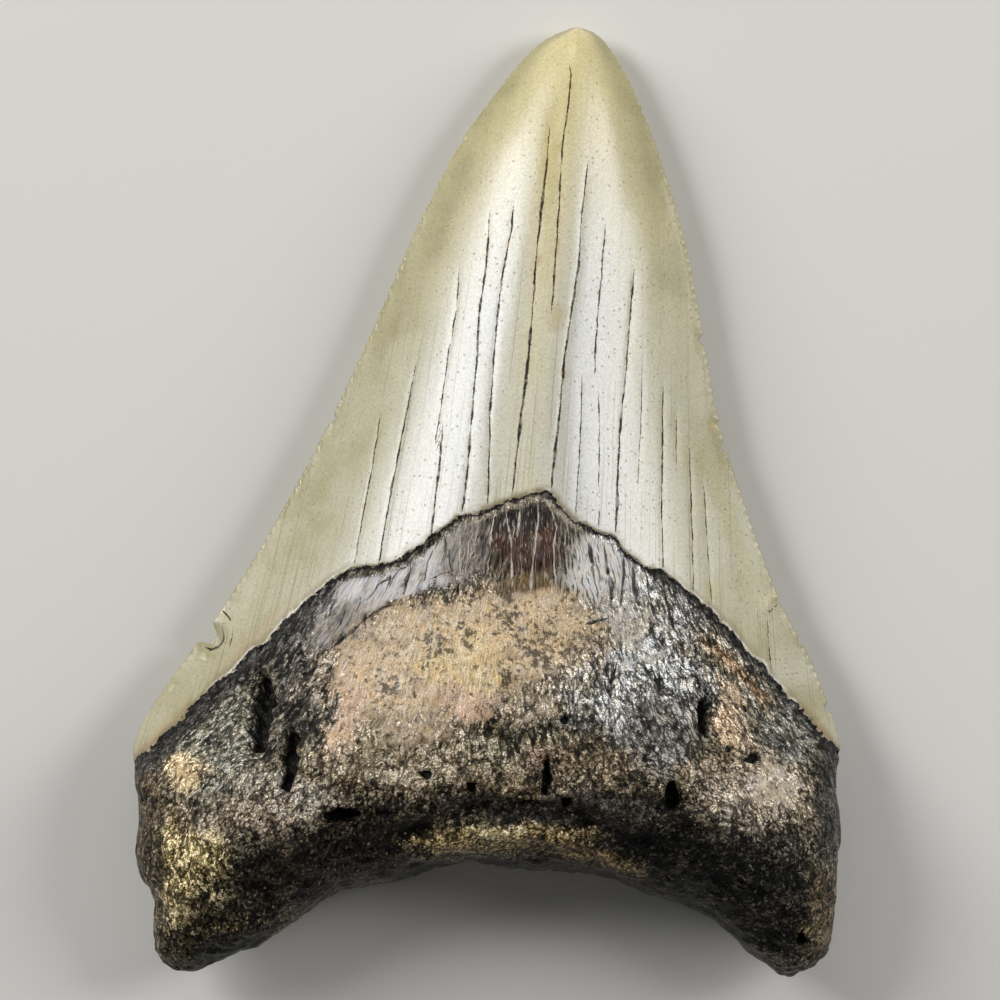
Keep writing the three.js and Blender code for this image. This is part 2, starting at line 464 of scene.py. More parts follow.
def linear(colour: str) -> tuple[float, float, float, float]:
    """Linear colour of an sRGB hex value.

    Args:
        colour: Six hex digits.

    Returns:
        Red, green, blue and an alpha of one.
    """
    parts = [int(colour[at:at + 2], 16) / 255 for at in (0, 2, 4)]
    red, green, blue = (c / 12.92 if c <= 0.04045 else ((c + 0.055) / 1.055) ** 2.4 for c in parts)
    return red, green, blue, 1.0


def smooth(low: float, high: float, values: np.ndarray) -> np.ndarray:
    """Smooth step from 0 at low to 1 at high.

    Args:
        low: Value at which the step starts.
        high: Value at which it ends.
        values: Values to step.

    Returns:
        The steps, one for each value.
    """
    share = np.clip((values - low) / (high - low), 0, 1)
    return share * share * (3 - 2 * share)


def lumps(points: np.ndarray, size: float | tuple[float, float, float], seed: float) -> np.ndarray:
    """Smooth noise between about -1 and 1.

    Args:
        points: Places in millimetres, two or three numbers each.
        size: Width of a lump in millimetres, or its width along each axis.
        seed: Shift that tells one field of noise from another.

    Returns:
        The noise at each place.
    """
    places = np.zeros((len(points), 3))
    places[:, :points.shape[1]] = points
    places = places / np.asarray(size) + seed
    return np.array([noise.noise(place) for place in places.tolist()])


def layered(points: np.ndarray, layers: tuple[Layer, ...], shift: float = 0.0) -> np.ndarray:
    """Sum of some layers of noise.

    Args:
        points: Places in millimetres, two or three numbers each.
        layers: The layers.
        shift: Shift of all their seeds.

    Returns:
        The sum at each place.
    """
    return sum(layer.height * lumps(points, layer.size, layer.seed + shift) for layer in layers)


def ridged(points: np.ndarray, layer: Layer) -> np.ndarray:
    """Noise folded into sharp valleys between rounded ridges.

    Args:
        points: Places in millimetres, three numbers each.
        layer: The noise to fold.

    Returns:
        The height at each place.
    """
    steepness, middle = 2.5, 0.6
    return layer.height * (steepness * np.abs(lumps(points, layer.size, layer.seed)) - middle)


def along_path(points: np.ndarray, path: np.ndarray) -> tuple[np.ndarray, np.ndarray, np.ndarray]:
    """Nearest place on a path for each point.

    Args:
        points: Plan places in millimetres.
        path: Corners of the path in millimetres.

    Returns:
        The offset to the path's left as it runs (minus to its right), the distance travelled along
        it, and the path's direction there.
    """
    best = np.full(len(points), np.inf)
    offset = np.zeros(len(points))
    travel = np.zeros(len(points))
    heading = np.zeros((len(points), 2))
    walked = 0.0
    for start, end in zip(path[:-1], path[1:]):
        length = math.dist(start, end)
        way = (end - start) / length
        reach = points - start
        share = np.clip(reach @ way, 0, length)
        gap = reach - share[:, None] * way
        far = np.hypot(gap[:, 0], gap[:, 1])
        nearer = far < best
        side = np.where(way[0] * reach[:, 1] - way[1] * reach[:, 0] < 0, -1.0, 1.0)
        best = np.where(nearer, far, best)
        offset = np.where(nearer, far * side, offset)
        travel = np.where(nearer, walked + share, travel)
        heading[nearer] = way
        walked += length
    return offset, travel, heading


def path_length(path: np.ndarray) -> float:
    """Length of a path in its own units."""
    return float(np.hypot(*np.diff(path, axis=0).T).sum())


def only(piece: bpy.types.Object) -> None:
    """Leaves one object selected and active.

    Args:
        piece: The object.
    """
    bpy.ops.object.select_all(action="DESELECT")
    piece.select_set(True)
    bpy.context.view_layer.objects.active = piece


def select_faces(piece: bpy.types.Object, wanted: np.ndarray) -> None:
    """Selects some faces of a mesh and nothing else, then goes into edit mode.

    Args:
        piece: The mesh object.
        wanted: True for each face to select.
    """
    only(piece)
    bpy.context.tool_settings.mesh_select_mode = (False, False, True)
    mesh = piece.data
    mesh.vertices.foreach_set("select", np.zeros(len(mesh.vertices), bool))
    mesh.edges.foreach_set("select", np.zeros(len(mesh.edges), bool))
    mesh.polygons.foreach_set("select", wanted)
    bpy.ops.object.mode_set(mode="EDIT")


def apply_modifier(piece: bpy.types.Object, kind: str, **settings: object) -> None:
    """Adds a modifier with its settings and applies it.

    Args:
        piece: The object that takes it.
        kind: Type name of the modifier.
        **settings: Its properties.
    """
    only(piece)
    modifier = piece.modifiers.new(kind.title(), kind)
    for name, value in settings.items():
        setattr(modifier, name, value)
    bpy.ops.object.modifier_apply(modifier=modifier.name)


def read_field(items: bpy.types.bpy_prop_collection, name: str) -> np.ndarray:
    """Reads a field of three numbers.

    Args:
        items: Vertices or faces of a mesh.
        name: Name of the field, such as co, center or normal.

    Returns:
        The numbers, a row for each item.
    """
    values = np.empty(len(items) * 3, np.float32)
    items.foreach_get(name, values)
    return values.reshape(-1, 3).astype(float)


def write_mark(piece: bpy.types.Object, name: str, values: np.ndarray) -> None:
    """Stores a number or a vector on every vertex for the material to read.

    Args:
        piece: The mesh object.
        name: Name of the attribute.
        values: One number, or three numbers, for each vertex.
    """
    kind, slot = ("FLOAT", "value") if values.ndim == 1 else ("FLOAT_VECTOR", "vector")
    mark = piece.data.attributes.new(name, kind, "POINT")
    mark.data.foreach_set(slot, np.ascontiguousarray(values, np.float32).ravel())


class Kind(Enum):
    """Kinds of node in a finish: type, settings, inputs in order, and the output if only one is used."""

    PLACE = ("TexCoord", {}, (), "Object")
    MARK = ("Attribute", {}, (), "Fac")
    MARK_VECTOR = ("Attribute", {}, (), "Vector")
    MARK_COLOUR = ("Attribute", {}, (), "Color")
    CLOUD = ("TexNoise", {}, ("Vector", "Scale", "Detail", "Roughness"), "Fac")
    CELLS = ("TexVoronoi", {}, ("Vector", "Scale"), None)
    LINES = ("TexVoronoi", {"voronoi_dimensions": "1D", "feature": "DISTANCE_TO_EDGE"},
             ("W", "Scale"), "Distance")
    PARTS = ("SeparateXYZ", {}, (0,), None)
    SHADES = ("SeparateColor", {}, (0,), None)
    GREY = ("RGBToBW", {}, (0,), 0)
    SHIFT = ("VectorMath", {"operation": "ADD"}, (0, 1), 0)
    STRETCH = ("VectorMath", {"operation": "MULTIPLY"}, (0, 1), 0)
    SCALE = ("VectorMath", {"operation": "SCALE"}, (0, "Scale"), 0)
    EASE = ("MapRange", {"interpolation_type": "SMOOTHSTEP"}, (0, 1, 2), 0)
    LAY = ("Mix", {"data_type": "RGBA"}, (0, 6, 7), 2)
    BLEND = ("Mix", {}, (0, 2, 3), 0)
    PLUS = ("Math", {"operation": "ADD"}, (0, 1), 0)
    MINUS = ("Math", {"operation": "SUBTRACT"}, (0, 1), 0)
    TIMES = ("Math", {"operation": "MULTIPLY"}, (0, 1), 0)
    TIMES_PLUS = ("Math", {"operation": "MULTIPLY_ADD"}, (0, 1, 2), 0)
    OVER = ("Math", {"operation": "DIVIDE"}, (0, 1), 0)
    POWER = ("Math", {"operation": "POWER"}, (0, 1), 0)
    ABSOLUTE = ("Math", {"operation": "ABSOLUTE"}, (0,), 0)
    LEAST = ("Math", {"operation": "MINIMUM"}, (0, 1), 0)
    MOST = ("Math", {"operation": "MAXIMUM"}, (0, 1), 0)
    UNDER = ("Math", {"operation": "LESS_THAN"}, (0, 1), 0)
    ABOVE = ("Math", {"operation": "GREATER_THAN"}, (0, 1), 0)
    BUMP = ("Bump", {}, ("Height", "Distance", "Strength"), 0)
    SURFACE = ("BsdfPrincipled", {},
               ("Base Color", "Roughness", "Normal", "IOR", "Specular IOR Level",
                "Coat Weight", "Coat Normal", "Coat Roughness", "Coat IOR"), 0)
    OUTPUT = ("OutputMaterial", {}, ("Surface",), None)


def add_node(tree: bpy.types.NodeTree, kind: Kind, *values: object,
             **settings: object) -> Socket | bpy.types.Node:
    """Adds a node with its settings, values and links.

    Args:
        tree: The tree that takes it.
        kind: Kind of node.
        *values: Value or output socket for each input, in the kind's order.
        **settings: More of the node's own properties.

    Returns:
        The output that the kind names, or else the node.
    """
    type_name, presets, inputs, output = kind.value
    node = tree.nodes.new("ShaderNode" + type_name)
    for name, value in (presets | settings).items():
        setattr(node, name, value)
    for name, value in zip(inputs, values):
        if isinstance(value, Socket):
            tree.links.new(value, node.inputs[name])
        else:
            node.inputs[name].default_value = value
    return node if output is None else node.outputs[output]


@dataclass(frozen=True)
class EnamelFinish:
    """Fossil enamel, dense apatite polished in life: cream and glossy, with fine long cracks.

    Attributes:
        lower: Cream near the border.
        highlight_band: Paler bands down both sides of the middle, where the highlights fall: partly paler
            enamel, partly a painted highlight.
        upper: Yellow near the tip.
        edge: Duller flanks.
        warm: Warm clouds in the cream.
        halo: Rust beside cracks.
        soil: Earth in the border and the close hairlines.
        hairline: Grey of the hairlines and pores.
        roughness: Roughness under the polish.
        gloss_roughness: Roughness of the polish.
        gloss_ior: IOR of apatite.
        hair: Half the width of a hairline in millimetres, drawn coarser than it is so that it shows.
        hair_spacing: Spacing of the hairlines.
        hair_bend: Width of a bend in a hairline.
        hair_break: Width of a stretch without hairlines.
        close_hair: Half the width of the close hairlines above the border.
        close_spacing: Spacing of the close hairlines.
        pore_spacing: Spacing of the pores.
        patch: Width of a warm cloud.
        streak: Width of a long streak.
        peel: Width of a dimple of the polish's orange peel, drawn coarser than it is so that it shows.
    """

    lower: str = "ddd8c2"
    highlight_band: str = "c6c5bd"
    upper: str = "e3d59e"
    edge: str = "a0986a"
    warm: str = "d2c492"
    halo: str = "b79a5c"
    soil: str = "8a7a56"
    hairline: str = "6f684c"
    roughness: float = 0.42
    gloss_roughness: float = 0.27
    gloss_ior: float = 1.63
    hair: float = 0.07
    hair_spacing: float = 1.3
    hair_bend: float = 2.0
    hair_break: float = 1.1
    close_hair: float = 0.05
    close_spacing: float = 0.5
    pore_spacing: float = 0.5
    patch: float = 6.0
    streak: float = 0.7
    peel: float = 0.22


@dataclass(frozen=True)
class RootFinish:
    """Mineral-soaked root bone: fibres above, grains below, black between them, with a damp gloss.

    Attributes:
        black: Mineral between the grains and in holes.
        seam: Pale mineral in the seams of the neck band.
        roughness: Middle roughness.
        ior: IOR of bone.
        shine: Specular level under the damp gloss.
        cool: Factors that cool some grains.
        warm: Factors that warm others.
        fibre: Width of a fibre in millimetres.
        thread: Width of a thread in the clean patches.
        streak: Width of a streak in the neck band.
        grit_and_glints: Width of a gritty speck on a grain, its pale specks painted glints, drawn coarser
            than it is so that it shows.
        ridge: Width of a ridge between winding crevices.
        grain: Width of a grain.
        spot: Width of a small cloud, which breaks up soil and patch outlines.
        blot: Width of a larger cloud, which breaks up rust and hue.
        mottle: Width of a darker or paler group of grains.
        speck: Width of a dark speck on the clean patches.
        crumb: Width of a crumb along the enamel's border.
    """

    black: str = "0b0a08"
    seam: str = "c8beb0"
    roughness: float = 0.34
    ior: float = 1.4
    shine: float = 0.2
    cool: tuple[float, float, float] = (0.97, 1.0, 1.05)
    warm: tuple[float, float, float] = (1.06, 1.0, 0.86)
    fibre: float = 0.25
    thread: float = 0.15
    streak: float = 0.24
    grit_and_glints: float = 0.14
    ridge: float = 0.9
    grain: float = 0.23
    spot: float = 0.75
    blot: float = 1.2
    mottle: float = 2.0
    speck: float = 0.55
    crumb: float = 0.5


@dataclass(frozen=True)
class FloorFinish:
    """Matt painted board: pale, even and without gloss."""

    colour: str = "e6e4df"
    roughness: float = 0.85


@dataclass
class Tooth:
    """The tooth: crown, neck band and root as one grown piece.

    Attributes:
        serration: Spacing of the serrations in millimetres.
        serration_height: How far a serration stands out from its notch in millimetres.
        serration_band: Breadth of the margin that the serrations bend in millimetres.
        serration_start: Distances from the tip in millimetres between which the serrations set in.
        worn: How far the serrations are worn away low on the left and the right edge.
        worn_start: Distances from the tip between which the wear sets in.
        enamel_step: Thickness of the enamel at its lower border in millimetres.
        border_band: Distances below the border between which the enamel ends.
        step_reach: Distance below the border over which the root swells back out.
        groove: Depth of the groove along the border in millimetres.
        groove_at: Distance of the groove below the border, and half its width.
        grain_start: Height in the plan, in millimetres, at which fibres give way to grains.
        line_reach: Distance in millimetres from a crack or seam within which it is drawn.
        line_taper: Longest taper of its ends in millimetres.
        finest_dip: Half the width in millimetres of the narrowest dip that the mesh holds.
        weld: Distance in millimetres within which the solid's corners are one point.
        quad_limits: Largest bend and skew in degrees of two triangles that become one face.
        crease_angle: Angle in degrees past which an edge is a cutting edge.
        fan_radius: Radius in millimetres at which the root fibres' turn is measured.
        grain_radius: Radius at which the turn of the enamel's grain is measured.
        split_rounds: Times that faces which are too large get split.
        outer_face: Largest face on the outer side in millimetres.
        enamel_face: Largest face on plain enamel.
        root_face: Largest face on the root.
        crack_face: Largest face along cracks, borders and holes.
        rim_face: Largest face along the cutting edges.
        crack_reach: Distance in millimetres from a crack that counts as along it.
        rim_reach: Distance from a cutting edge that counts as along it.
        enamel: Finish of the crown.
        root: Finish of the root.
    """

    serration: float = 0.85
    serration_height: float = 0.2
    serration_band: float = 0.75
    serration_start: tuple[float, float] = (1.0, 5.0)
    worn: tuple[float, float] = (0.75, 0.4)
    worn_start: tuple[float, float] = (45.0, 70.0)
    enamel_step: float = 0.12
    border_band: tuple[float, float] = (0.32, -0.1)
    step_reach: float = 5.0
    groove: float = 0.06
    groove_at: float = 0.25
    grain_start: tuple[float, float] = (-22.0, -23.5)
    line_reach: float = 1.5
    line_taper: float = 3.0
    finest_dip: float = 0.24
    weld: float = 0.002
    quad_limits: tuple[float, float] = (40.0, 60.0)
    crease_angle: float = 45.0
    fan_radius: float = 40.0
    grain_radius: float = 140.0
    split_rounds: int = 4
    outer_face: float = 1.1
    enamel_face: float = 0.7
    root_face: float = 0.37
    crack_face: float = 0.28
    rim_face: float = 0.16
    crack_reach: float = 0.25
    rim_reach: float = 0.2
    enamel: EnamelFinish = EnamelFinish()
    root: RootFinish = RootFinish()

    def build(self) -> bpy.types.Object:
        """Models the tooth from a copy of its solid.

        Returns:
            The finished mesh object.
        """
        self._cast()
        self._refine()
        self._sculpt()
        only(self.piece)
        bpy.ops.object.shade_smooth()
        return self.piece

    def _cast(self) -> None:
        """Copies the solid, merges it and smooths it between its cutting edges."""
        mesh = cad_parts["tooth"].data.copy()
        piece = bpy.data.objects.new("fossil_tooth", mesh)
        bpy.context.scene.collection.objects.link(piece)
        piece.data.materials.clear()
        only(piece)
        bpy.ops.mesh.customdata_custom_splitnormals_clear()
        bpy.ops.object.mode_set(mode="EDIT")
        bpy.ops.mesh.select_all(action="SELECT")
        bpy.ops.mesh.remove_doubles(threshold=self.weld * MM)
        bend, skew = (math.radians(limit) for limit in self.quad_limits)
        bpy.ops.mesh.tris_convert_to_quads(face_threshold=bend, shape_threshold=skew)
        bpy.ops.mesh.select_all(action="DESELECT")
        bpy.ops.mesh.select_mode(type="EDGE")
        bpy.ops.mesh.edges_select_sharp(sharpness=math.radians(self.crease_angle))
        bpy.ops.transform.edge_crease(value=1.0)
        bpy.ops.object.mode_set(mode="OBJECT")
        apply_modifier(piece, "SUBSURF", levels=1, render_levels=1)
        self.piece = piece
        self.rims = self._rims()

    def _split(self, wanted: np.ndarray) -> None:
        """Halves some faces.

        Args:
            wanted: True for each face to halve.
        """
        select_faces(self.piece, wanted)
        bpy.ops.mesh.subdivide(number_cuts=1, smoothness=0, ngon=False)
        bpy.ops.object.mode_set(mode="OBJECT")

    def _refine(self) -> None:
        """Splits faces until each is as fine as the detail it holds, and keeps the shape smooth."""
        smooth_shape = self.piece.copy()
        smooth_shape.data = self.piece.data.copy()
        bpy.context.scene.collection.objects.link(smooth_shape)
        apply_modifier(smooth_shape, "SUBSURF", levels=2, render_levels=2)
        for _ in range(self.split_rounds):
            area = np.empty(len(self.piece.data.polygons), np.float32)
            self.piece.data.polygons.foreach_get("area", area)
            self._split(np.sqrt(area) / MM > self._wanted_size())
        apply_modifier(self.piece, "SHRINKWRAP", target=smooth_shape,
                       wrap_method="NEAREST_SURFACEPOINT")
        bpy.data.objects.remove(smooth_shape)
        LOG.info("refined to %d faces", len(self.piece.data.polygons))

    def _wanted_size(self) -> np.ndarray:
        """Sets how fine each face has to be for the detail that it holds.

        Returns:
            The largest width of each face in millimetres.
        """
        places = read_field(self.piece.data.polygons, "center") / MM
        plan = places[:, :2]
        upward = read_field(self.piece.data.polygons, "normal")[:, 2] > -0.15
        size = np.where(upward, self.enamel_face, self.outer_face)
        border = along_path(plan, photo_mm(GUM_PX[Face.INNER]))[0]
        size[upward & (border < 0.3)] = self.root_face
        near = np.abs(border) < 0.4
        for crack in CRACKS + NECK_CRACKS:
            near |= np.abs(along_path(plan, photo_mm(crack.path_px))[0]) < self.crack_reach
        for pit in PITS:
            line = photo_mm((pit.start_px, pit.end_px))
            near |= np.abs(along_path(plan, line)[0]) < pit.radius + 0.3
        size[near & upward] = self.crack_face
        for rim in self.rims:
            size[np.abs(along_path(plan, rim)[0]) < self.rim_reach] = self.rim_face
        return size

    def _rims(self) -> list[np.ndarray]:
        """Finds the left and right cutting edges.

        Returns:
            Each edge's points from the tip down, in plan millimetres.
        """
        only(self.piece)
        bpy.context.tool_settings.mesh_select_mode = (False, True, False)
        bpy.ops.object.mode_set(mode="EDIT")
        bpy.ops.mesh.select_all(action="DESELECT")
        bpy.ops.mesh.edges_select_sharp(sharpness=math.radians(self.crease_angle))
        bpy.ops.object.mode_set(mode="OBJECT")
        chosen = np.zeros(len(self.piece.data.vertices), bool)
        self.piece.data.vertices.foreach_get("select", chosen)
        places = read_field(self.piece.data.vertices, "co")[:, :2] / MM
        tip = places[places[:, 1].argmax()]
        foot = CAD_BOX[0].y / MM
        sharp = places[chosen & (places[:, 1] > photo_mm(RIM_FOOT_PX)[1])]
        middle = tip[0] * (sharp[:, 1] - foot) / (tip[1] - foot)
        rims = []
        for side in (sharp[sharp[:, 0] < middle], sharp[sharp[:, 0] >= middle]):
            rims.append(np.vstack([tip, side[side[:, 1].argsort()[::-1]]]))
        return rims

    def _sculpt(self) -> None:
        """Carves the border, cracks, holes and serrations, and marks where each finish goes."""
        places = read_field(self.piece.data.vertices, "co") / MM
        normals = read_field(self.piece.data.vertices, "normal")
        plan = places[:, :2].copy()
        inner = smooth(-0.3, 0.1, normals[:, 2])

        below = self._below_gum(plan, inner)
        grain = self._turned(places, GRAIN_PX, self.grain_radius)
        grain[:, 2] = inner * self.grain_radius
        crack, crack_height = self._lines(plan, CRACKS + NECK_CRACKS, seed=11.0)
        seam, seam_height = self._lines(plan, SEAMS, seed=47.0)
        _, fold_height = self._lines(plan, FOLDS, seed=83.0)
        hollow, pit_height = self._pits(plan)
        relief = self._root_relief(places, normals, below)

        crown = smooth(*self.border_band, below)
        height = crown * layered(grain, CROWN_WAVES) + crack_height * inner
        height += (1 - crown) * (relief + (seam_height + fold_height) * inner)
        height -= (1 - crown) * self.enamel_step * np.exp(-np.maximum(below, 0) / self.step_reach)
        height -= self.groove * np.exp(-((below - self.groove_at) / self.groove_at) ** 2)
        height += pit_height * inner
        places += normals * height[:, None]
        places[:, :2] += self._edge_moves(plan, below)
        places[:, 2] = np.maximum(places[:, 2], 0)
        self.piece.data.vertices.foreach_set("co", (places * MM).astype(np.float32).ravel())
        self.piece.data.update()

        crack[inner < 0.5] = NO_LINE
        seam[inner < 0.5] = NO_LINE
        sway = np.zeros_like(places)
        for axis in range(2):
            sway[:, axis] = layered(places, FIBRE_SWAY, axis)
        low = places[:, 1] + layered(places, GRAIN_WOBBLE)
        marks = {
            "below_gum": below,
            "across": np.abs(self._across(plan)),
            "grain": grain,
            "fan": self._turned(places, FAN_PX, self.fan_radius) + sway,
            "arch": self._turned(places, ARCH_PX, self.fan_radius)[:, (1, 0, 2)] + sway,
            "low": smooth(*self.grain_start, low),
            "crack": crack,
            "seam": seam,
            "hollow": hollow * inner,
            "relief": relief + fold_height * inner,
        }
        marks |= self._colours(places, plan, below, inner)
        for name, values in marks.items():
            write_mark(self.piece, name, values)

    def _colours(self, places: np.ndarray, plan: np.ndarray, below: np.ndarray,
                 inner: np.ndarray) -> dict[str, np.ndarray]:
        """Lays the mineral colours of the root, with some painted shade, shadow and sheen, and the staining,
        painted shade and painted highlights of the enamel.

        Args:
            places: Carved places of the vertices in millimetres.
            plan: Their plan places before carving.
            below: Millimetres below the enamel's border.
            inner: Share of the inner face.

        Returns:
            The marks that hold the colours, by name.
        """
        warp = np.column_stack([layered(places, PATCH_WOBBLE), layered(places, PATCH_WOBBLE, 2.0)])
        tint = np.tile(linear(ROOT_TINT)[:3], (len(places), 1))
        spot = tint.copy()
        grime = np.full(len(places), ROOT_GRIME)
        self._lay(places, warp, ROOT_STAINS_AND_PAINTED_LIGHT, tint, grime)
        neck = self._neck_share(plan, below) * inner
        bands = (
            (neck, NECK_TINT, NECK_GRIME),
            (self._strip_share(plan, below) * inner, STRIP_TINT, STRIP_GRIME),
            (self._band_share(plan, below), BAND_TINT, BAND_GRIME),
        )
        for share, band_tint, band_grime in bands:
            tint += share[:, None] * (np.asarray(linear(band_tint)[:3]) - tint)
            grime += share * (band_grime - grime)
        self._lay(places, warp, NECK_STAINS, tint, grime)
        self._lay(places, warp, ENAMEL_STAINS_AND_PAINTED_LIGHT, spot, np.zeros(len(places)))
        oval = smooth(1.25, 0.75, self._reach(places, warp, NECK_OVAL))
        return {
            "tint": tint,
            "grime": grime,
            "spot": spot,
            "spotted": self._covered(places, warp, ENAMEL_STAINS_AND_PAINTED_LIGHT),
            "speckled": self._covered(places, warp, SPECKLES),
            "neck": np.maximum(neck, oval * smooth(0.3, 0.8, below) * inner),
        }

    def _neck_share(self, plan: np.ndarray, below: np.ndarray) -> np.ndarray:
        """Finds the smooth left half of the neck band.

        Args:
            plan: Plan places of the vertices in millimetres.
            below: Millimetres below the enamel's border.

        Returns:
            The share of it at each vertex.
        """
        offset, _, _ = along_path(plan, photo_mm(NECK_FOOT_PX))
        offset = offset + layered(plan, NECK_WOBBLE)
        start, end = photo_mm(NECK_FOOT_PX)[(0, -1), 0]
        length = smooth(start, start + 3, plan[:, 0]) * smooth(end - 1, end - 5, plan[:, 0])
        fan = self._turned(np.column_stack([plan, below * 0]), FAN_PX, self.fan_radius)
        flaked = np.clip(0.85 + layered(fan, NECK_FLAKES), 0.1, 1.0)
        return smooth(-0.2, 0.25, offset) * smooth(0.5, 1.0, below) * length * flaked

    def _strip_share(self, plan: np.ndarray, below: np.ndarray) -> np.ndarray:
        """Share of the greyish strip under the peak of the enamel's border at each vertex."""
        return smooth(0.95, 0.65, below) * smooth(6.5, 4.5, np.abs(plan[:, 0] - photo_mm(STRIP_PX)[0]))

    def _band_share(self, plan: np.ndarray, below: np.ndarray) -> np.ndarray:
        """Share of the dark band along the enamel's border, broader on the left, at each vertex."""
        breadth = below + 0.8 * smooth(0, 10, plan[:, 0])
        return smooth(2.2, 0.9, breadth) * smooth(11, 17, np.abs(plan[:, 0]))

    def _turned(self, places: np.ndarray, centre_px: tuple[float, float], radius: float) -> np.ndarray:
        """Places as distance round a point, distance from it and height, in millimetres.

        Args:
            places: Places of the vertices in millimetres.
            centre_px: The point, in the photograph's pixels.
            radius: Radius in millimetres at which the distance round it is measured.

        Returns:
            The three distances for each vertex.
        """
        gap = places[:, :2] - photo_mm(centre_px)
        reach = np.hypot(gap[:, 0], gap[:, 1])
        turn = np.arctan2(gap[:, 0], np.abs(gap[:, 1]))
        return np.column_stack([turn * radius, reach, places[:, 2]])

    def _below_gum(self, plan: np.ndarray, inner: np.ndarray) -> np.ndarray:
        """Measures how far below the enamel's lower border each vertex is on its own face.

        Args:
            plan: Plan places of the vertices in millimetres.
            inner: Share of the inner face.

        Returns:
            The distance in millimetres, minus above the border.
        """
        wobble = layered(plan, GUM_WOBBLE)
        found = []
        for face in Face:
            offset, _, _ = along_path(plan, photo_mm(GUM_PX[face]))
            found.append(wobble - offset)
        return np.where(inner > 0.5, found[0], found[1])

    def _across(self, plan: np.ndarray) -> np.ndarray:
        """Measures how far each vertex is from one cutting edge to the other.

        Args:
            plan: Plan places of the vertices in millimetres.

        Returns:
            The place between them, from -1 on the left to 1 on the right.
        """
        left, right = (np.interp(plan[:, 1], rim[::-1, 1], rim[::-1, 0]) for rim in self.rims)
        width = np.maximum(right - left, 1.0)
        return np.clip(2 * (plan[:, 0] - left) / width - 1, -1.2, 1.2)

    def _lines(self, plan: np.ndarray, lines: tuple[Crack, ...],
               seed: float) -> tuple[np.ndarray, np.ndarray]:
        """Lays cracks or seams on the surface.

        Args:
            plan: Plan places of the vertices in millimetres.
            lines: The lines to lay.
            seed: Shift of the noise that makes them ragged.

        Returns:
            For each vertex the signed offset from its nearest line, the plain distance and the
            line's half width there; and the height that the lines add.
        """
        mark = np.tile(NO_LINE, (len(plan), 1))
        height = np.zeros(len(plan))
        for number, line in enumerate(lines):
            path = photo_mm(line.path_px)
            offset, travel, _ = along_path(plan, path)
            close = np.flatnonzero(np.abs(offset) < self.line_reach)
            offset, travel = offset[close], travel[close]
            # Each line has its own row of the noise.
            course = np.column_stack([travel, np.full(len(close), number * LINE_ROW)])
            offset = offset + layered(course, LINE_WOBBLE, seed)
            length = path_length(path)
            rest = length - travel
            lead = min(self.line_taper, 0.35 * length)
            ends = smooth(-0.2 * lead, lead, travel) * smooth(-0.4 * lead, 0.45 * lead, rest)
            ends *= smooth(0, 0.13 * lead, rest)
            width = line.width * ends * np.clip(0.75 + layered(course, LINE_SWELL, seed), 0.25, 1.5)
            dip = np.exp(-(offset / max(line.width, self.finest_dip)) ** 2)
            height[close] -= line.depth * ends * dip
            nearer = np.abs(offset) < mark[close, 1]
            mark[close[nearer]] = np.column_stack([offset, np.abs(offset), width])[nearer]
        return mark, height

    def _pits(self, plan: np.ndarray) -> tuple[np.ndarray, np.ndarray]:
        """Sinks the holes of the root.

        Args:
            plan: Plan places of the vertices in millimetres.

        Returns:
            How far into a hole each vertex is, from 0 to 1, and the height that the holes add.
        """
        hollow = np.zeros(len(plan))
        height = np.zeros(len(plan))
        rough = 1 + layered(plan, PIT_WOBBLE)
        for pit in PITS:
            line = photo_mm((pit.start_px, pit.end_px))
            offset, travel, _ = along_path(plan, line)
            share = travel / path_length(line)
            radius = pit.radius * (0.7 + 0.35 * np.sin(np.pi * share) + 0.2 * share)
            inside = smooth(1.15, 0.4, np.abs(offset) * rough / radius)
            hollow = np.maximum(hollow, inside)
            height = np.minimum(height, -pit.depth * inside)
        return hollow, height

    def _root_relief(self, places: np.ndarray, normals: np.ndarray, below: np.ndarray) -> np.ndarray:
        """Raises the swellings, furrows, fibres and grains of the root.

        Args:
            places: Places of the vertices in millimetres.
            normals: Their normals.
            below: Millimetres below the enamel's border.

        Returns:
            The height that they add.
        """
        fan = self._turned(places, FAN_PX, self.fan_radius)
        arch = self._turned(places, ARCH_PX, self.fan_radius)
        low = smooth(-19, -27, places[:, 1])
        flat = 0.35 + 0.65 * np.abs(normals[:, 2])
        relief = layered(places, SWELLINGS) * smooth(1, 8, below)
        relief += ridged(places, FURROWS) * smooth(0.5, 5, below)
        relief += ridged(fan, FIBRE_RIDGES) * (1 - low) * smooth(0.5, 4, below)
        relief += ridged(arch, GRAIN_RIDGES) * low
        relief += (1 + low) * layered(places, CRUMBS)
        return relief * flat

